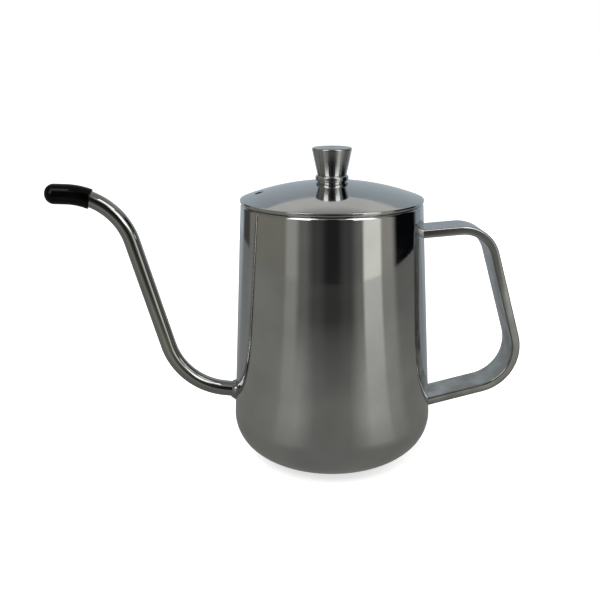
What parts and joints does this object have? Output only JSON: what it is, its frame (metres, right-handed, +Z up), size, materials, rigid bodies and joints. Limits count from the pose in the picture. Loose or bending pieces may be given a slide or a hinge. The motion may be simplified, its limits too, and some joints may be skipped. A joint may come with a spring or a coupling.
{
  "type": "gooseneck kettle",
  "caption": "Polished steel drip kettle with a tapered round body, a thin gooseneck spout closed by a soft black cap, a flat strip handle and a lift-off domed lid with a turned knob.",
  "frame": {"origin": "centre of the flat base, on the axis of the round body", "axes": "+Z up along the body's axis, +X towards the handle, -X towards the spout, +Y across"},
  "size_m": [0.227, 0.098, 0.153],
  "materials": {
    "body_steel": "mirror polished stainless steel",
    "spout_steel": "polished stainless tube",
    "handle_steel": "satin stainless strip",
    "lid_steel": "polished stainless sheet",
    "knob_steel": "turned and polished",
    "fastener_steel": "plain machined",
    "cap_rubber": "soft satin black"
  },
  "bodies": {
    "kettle": {"body_shell": "body_steel", "spout_tube": "spout_steel", "spout_collar": "spout_steel", "handle_strip": "handle_steel"},
    "lid": {"lid_dome": "lid_steel", "lid_skirt": "lid_steel", "knob_collar": "knob_steel", "knob": "knob_steel", "knob_washer": "fastener_steel", "knob_screw": "fastener_steel"},
    "tip_cap": {"spout_tip_cap": "cap_rubber"}
  },
  "joints": [
    {"name": "lid_lift", "type": "slide", "parent": "kettle", "child": "lid", "axis": [0, 0, 1], "range_m": [0, 0.06]},
    {"name": "cap_pull", "type": "hinge", "parent": "kettle", "child": "tip_cap", "pos_m": [-0.12488, 0, 0.10162], "axis": [0, -1, 0], "range_deg": [0, 40]}
  ]
}
